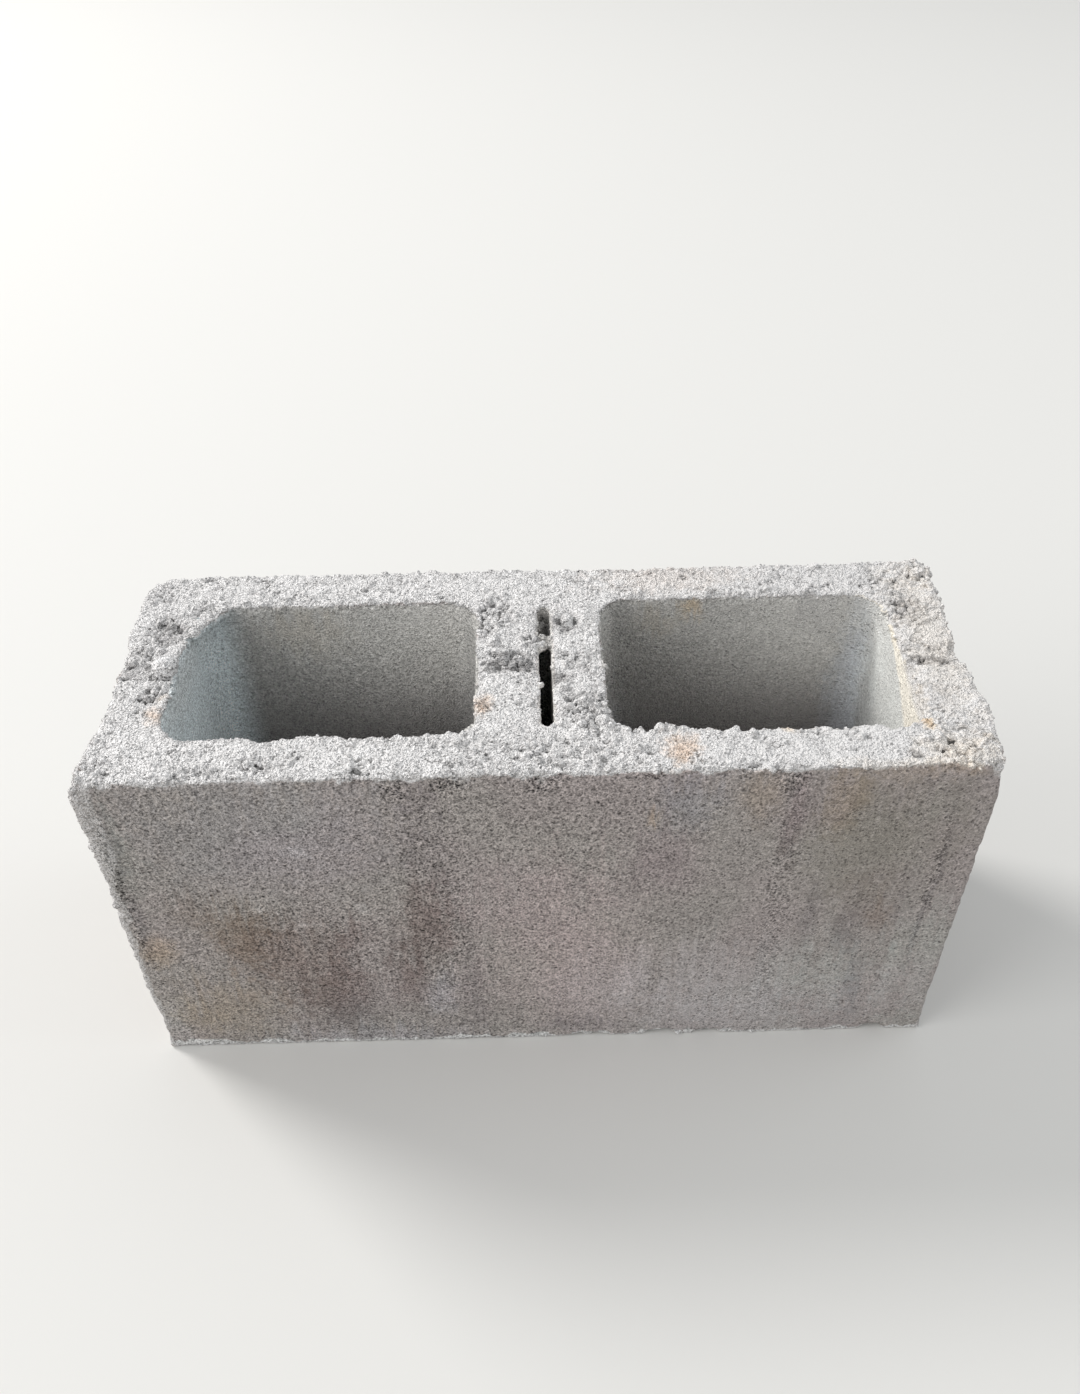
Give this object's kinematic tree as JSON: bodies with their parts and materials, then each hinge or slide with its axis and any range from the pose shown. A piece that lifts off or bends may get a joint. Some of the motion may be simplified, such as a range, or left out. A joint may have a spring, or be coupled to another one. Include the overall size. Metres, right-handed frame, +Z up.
{
  "type": "concrete block",
  "caption": "Hollow concrete masonry block with tapered through cores, a narrow splitting slot in its centre web and a core-bar mark across its struck face.",
  "frame": {"origin": "centre of the bed (bottom) face, on the ground", "axes": "+X along the block, +Y through its thickness to the back face, +Z up out of the struck face"},
  "size_m": [0.4, 0.15, 0.2],
  "materials": {
    "pressed_concrete": "open-textured grey concrete, smooth moulded faces, rough crumbly struck face, faint brown stains"
  },
  "bodies": {
    "root": {"concrete_block": "pressed_concrete"}
  },
  "joints": []
}
